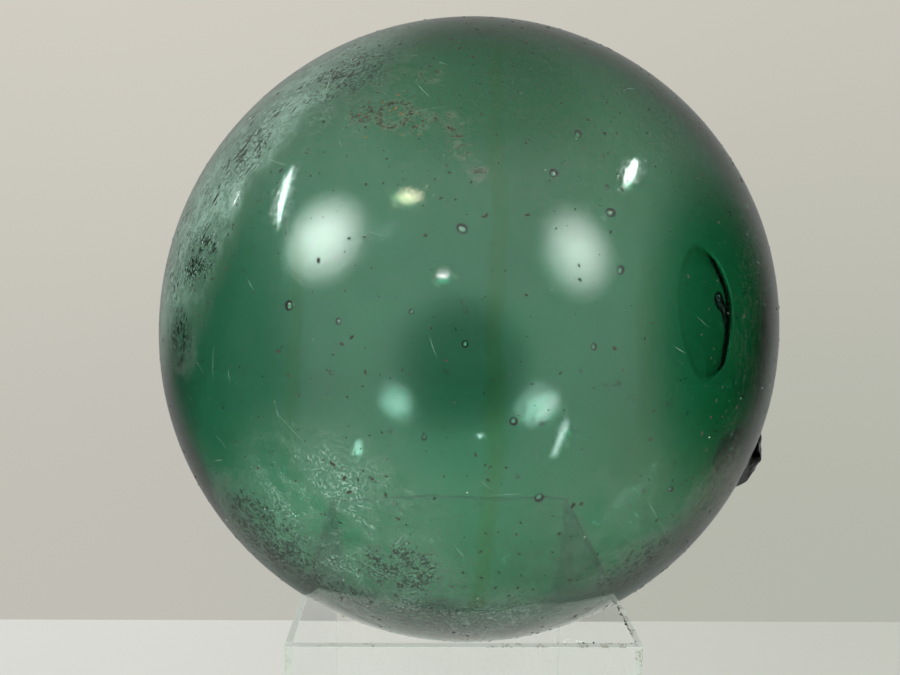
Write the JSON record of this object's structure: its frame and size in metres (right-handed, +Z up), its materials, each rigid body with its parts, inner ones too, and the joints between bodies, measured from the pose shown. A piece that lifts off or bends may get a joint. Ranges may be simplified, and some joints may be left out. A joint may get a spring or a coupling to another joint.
{
  "type": "glass ball on display cube",
  "caption": "Hollow hand-blown sea-green glass ball with a seal button, resting in the open top of a clear acrylic cube.",
  "frame": {"origin": "centre of the cube's underside, on the surface it stands on", "axes": "+Z up; -Y is the side that faces the viewer; +X is the viewer's right, near the sealed side of the ball"},
  "size_m": [0.284, 0.2866, 0.4192],
  "materials": {
    "sea_glass": "polished, with seeds, scuffs and old grime",
    "dark_glass": "fire-polished, lumpy",
    "clear_acrylic": "clear, with sawn and scraped edges"
  },
  "bodies": {
    "stand": {"front_panel": "clear_acrylic", "back_panel": "clear_acrylic", "left_panel": "clear_acrylic", "right_panel": "clear_acrylic", "base_panel": "clear_acrylic"},
    "ball": {"glass_shell": "sea_glass", "seal_button": "dark_glass", "patch_pad": "sea_glass"}
  },
  "joints": [
    {"name": "ball_lift", "type": "slide", "parent": "stand", "child": "ball", "axis": [0, 0, 1], "range_m": [0, 0.06]}
  ]
}
